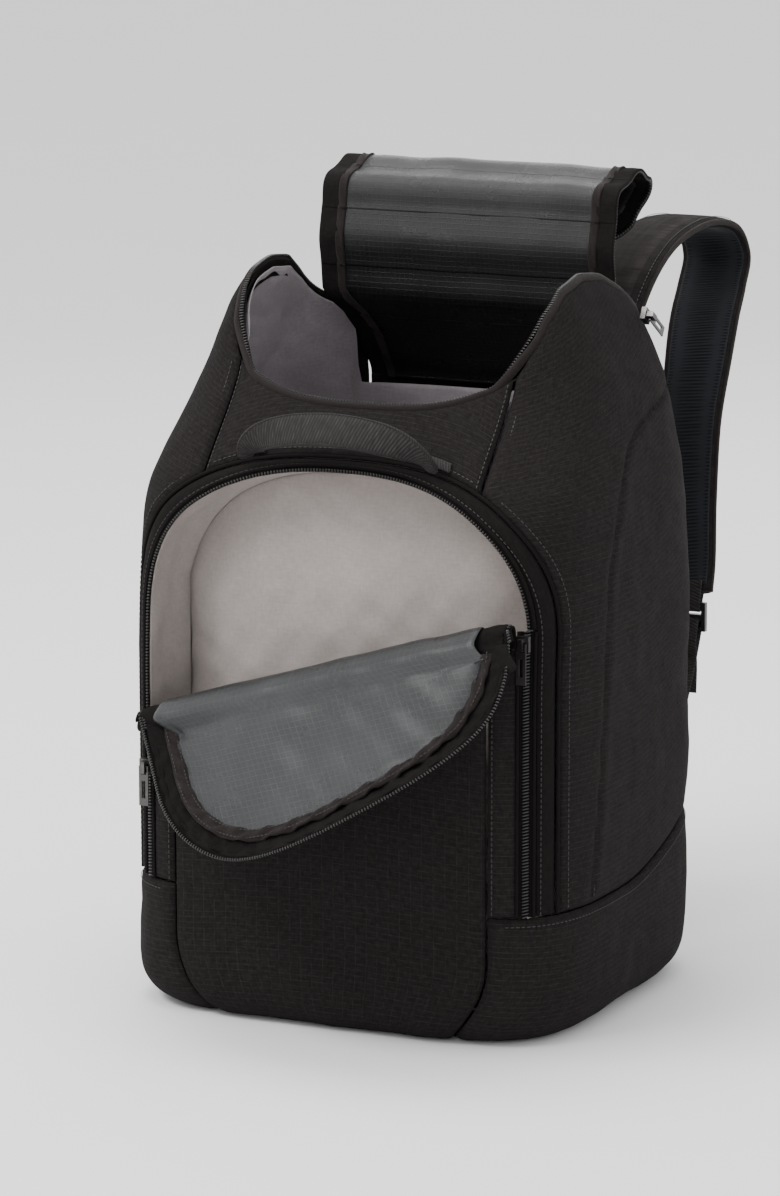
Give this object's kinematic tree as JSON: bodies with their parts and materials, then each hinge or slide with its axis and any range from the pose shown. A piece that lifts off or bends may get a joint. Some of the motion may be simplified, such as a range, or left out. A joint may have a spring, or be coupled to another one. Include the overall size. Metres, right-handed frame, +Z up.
{
  "type": "ski boot bag",
  "caption": "Tall backpack for ski boots and helmet, with a roll-back lid, a zipped arched front pocket with a fold-down flap, a grab handle and padded shoulder straps.",
  "frame": {"origin": "centre of the flat base, on the surface that the bag stands on", "axes": "+Z up; -Y is the bag's front, with the pocket; +Y is the side worn against the back; +X is the right-hand side seen from the front"},
  "size_m": [0.386, 0.7106, 0.6403],
  "materials": {
    "shell_fabric": "matt woven polyester, charcoal",
    "ripstop": "ripstop polyester with a fine raised grid",
    "board": "stiffener sheet",
    "foam": "padded mesh and foam",
    "webbing": "ribbed webbing",
    "lining": "plain lining, mauve grey",
    "pocket_lining": "plain lining, warm light grey",
    "zip": "coil zip on woven tape",
    "metal": "satin gunmetal",
    "plastic": "satin moulded plastic",
    "grey_tarpaulin": "glossy coated ripstop, grey",
    "tarpaulin": "glossy coated ripstop, black"
  },
  "bodies": {
    "bag": {"base_panel": "shell_fabric", "base_edge": "shell_fabric", "base_board": "board", "lower_band": "shell_fabric", "side_panel_right": "shell_fabric", "side_panel_left": "shell_fabric", "front_panel": "shell_fabric", "back_panel": "shell_fabric", "back_pad_right": "foam", "back_pad_left": "foam", "lumbar_pad": "foam", "strap_yoke": "webbing", "main_liner": "lining", "pocket_divider": "pocket_lining", "pocket_gusset": "shell_fabric", "pocket_centre_panel": "ripstop", "pocket_strip_right": "shell_fabric", "pocket_strip_left": "shell_fabric", "pocket_zip_right": "zip", "pocket_zip_left": "zip", "pocket_zip_arch": "zip", "rim_zip": "zip", "lid_slider_right": "metal", "lid_slider_left": "metal", "handle_anchor_right": "webbing", "handle_anchor_left": "webbing", "lower_webbing_right": "webbing", "lower_webbing_left": "webbing", "strap_wing_right": "shell_fabric", "strap_wing_left": "shell_fabric"},
    "lid_1": {"lid_panel_1": "tarpaulin"},
    "lid_2": {"lid_panel_2": "tarpaulin"},
    "lid_3": {"lid_panel_3": "tarpaulin"},
    "lid_4": {"lid_panel_4": "tarpaulin"},
    "lid_5": {"lid_panel_5": "tarpaulin"},
    "lid_6": {"lid_panel_6": "tarpaulin"},
    "lid_7": {"lid_panel_7": "tarpaulin"},
    "lid_8": {"lid_panel_8": "tarpaulin"},
    "pocket_flap": {"flap_panel": "ripstop", "flap_lining": "grey_tarpaulin", "flap_zip": "zip"},
    "pocket_slider_right": {"pocket_slider_right": "metal"},
    "pocket_pull_right": {"pocket_pull_right": "metal"},
    "pocket_slider_left": {"pocket_slider_left": "metal"},
    "pocket_pull_left": {"pocket_pull_left": "metal"},
    "lid_pull_right": {"lid_pull_right": "metal"},
    "lid_pull_left": {"lid_pull_left": "metal"},
    "grab_handle": {"grab_handle": "webbing"},
    "shoulder_strap_right": {"shoulder_strap_right": "foam", "ladder_lock_right": "plastic"},
    "shoulder_strap_left": {"shoulder_strap_left": "foam", "ladder_lock_left": "plastic"}
  },
  "joints": [
    {"name": "lid_hinge", "type": "hinge", "parent": "bag", "child": "lid_1", "pos_m": [0, 0.129, 0.466], "axis": [1, 0, 0], "range_deg": [-23.76, 0]},
    {"name": "lid_fold_2", "type": "hinge", "parent": "lid_1", "child": "lid_2", "pos_m": [0, 0.1022, 0.5003], "axis": [1, 0, 0], "range_deg": [0, 40.3]},
    {"name": "lid_fold_3", "type": "hinge", "parent": "lid_2", "child": "lid_3", "pos_m": [0, 0.0733, 0.536], "axis": [1, 0, 0], "range_deg": [0, 33.32]},
    {"name": "lid_fold_4", "type": "hinge", "parent": "lid_3", "child": "lid_4", "pos_m": [0, 0.0661, 0.5817], "axis": [1, 0, 0], "range_deg": [0, 34.8]},
    {"name": "lid_fold_5", "type": "hinge", "parent": "lid_4", "child": "lid_5", "pos_m": [0, 0.0762, 0.6256], "axis": [1, 0, 0], "range_deg": [0, 82.34]},
    {"name": "lid_fold_6", "type": "hinge", "parent": "lid_5", "child": "lid_6", "pos_m": [0, 0.1184, 0.6393], "axis": [1, 0, 0], "range_deg": [0, 71.05]},
    {"name": "lid_fold_7", "type": "hinge", "parent": "lid_6", "child": "lid_7", "pos_m": [0, 0.1506, 0.6242], "axis": [1, 0, 0], "range_deg": [0, 122.89]},
    {"name": "lid_fold_8", "type": "hinge", "parent": "lid_7", "child": "lid_8", "pos_m": [0, 0.1266, 0.59], "axis": [1, 0, 0], "range_deg": [0, 45.18]},
    {"name": "flap_fold", "type": "hinge", "parent": "bag", "child": "pocket_flap", "pos_m": [0.158, -0.197, 0.333], "axis": [-0.9565, 0, -0.2918], "range_deg": [0, 144]},
    {"name": "pocket_zip_right", "type": "slide", "parent": "bag", "child": "pocket_slider_right", "axis": [0, 0, 1], "range_m": [-0.2, 0]},
    {"name": "pocket_pull_right", "type": "hinge", "parent": "pocket_slider_right", "child": "pocket_pull_right", "pos_m": [0.16, -0.19541, 0.319], "axis": [-1, 0, 0], "range_deg": [0, 60]},
    {"name": "pocket_zip_left", "type": "slide", "parent": "bag", "child": "pocket_slider_left", "axis": [0, 0, 1], "range_m": [-0.076, 0]},
    {"name": "pocket_pull_left", "type": "hinge", "parent": "pocket_slider_left", "child": "pocket_pull_left", "pos_m": [-0.16, -0.19541, 0.194], "axis": [-1, 0, 0], "range_deg": [0, 120]},
    {"name": "lid_pull_right", "type": "hinge", "parent": "bag", "child": "lid_pull_right", "pos_m": [0.16233, 0.058, 0.53477], "axis": [0, -0.5299, -0.848], "range_deg": [0, 100]},
    {"name": "lid_pull_left", "type": "hinge", "parent": "bag", "child": "lid_pull_left", "pos_m": [-0.16233, 0.058, 0.53477], "axis": [0, 0.5299, 0.848], "range_deg": [0, 100]},
    {"name": "handle_fold", "type": "hinge", "parent": "bag", "child": "grab_handle", "pos_m": [0, -0.176, 0.443], "axis": [1, 0, 0], "range_deg": [0, 75]},
    {"name": "strap_right", "type": "hinge", "parent": "bag", "child": "shoulder_strap_right", "pos_m": [0.07, 0.152, 0.448], "axis": [1, 0, 0], "range_deg": [-16, 12]},
    {"name": "strap_left", "type": "hinge", "parent": "bag", "child": "shoulder_strap_left", "pos_m": [-0.07, 0.152, 0.448], "axis": [1, 0, 0], "range_deg": [-16, 12]}
  ],
  "couplings": [
    {"joint": "lid_hinge", "follows": "lid_fold_5", "ratio": -0.2825},
    {"joint": "lid_fold_2", "follows": "lid_fold_5", "ratio": 0.4834},
    {"joint": "lid_fold_3", "follows": "lid_fold_5", "ratio": 0.3986},
    {"joint": "lid_fold_4", "follows": "lid_fold_5", "ratio": 0.4166},
    {"joint": "lid_fold_6", "follows": "lid_fold_5", "ratio": 0.8568},
    {"joint": "lid_fold_7", "follows": "lid_fold_5", "ratio": 1.4864},
    {"joint": "lid_fold_8", "follows": "lid_fold_5", "ratio": 0.5426}
  ]
}
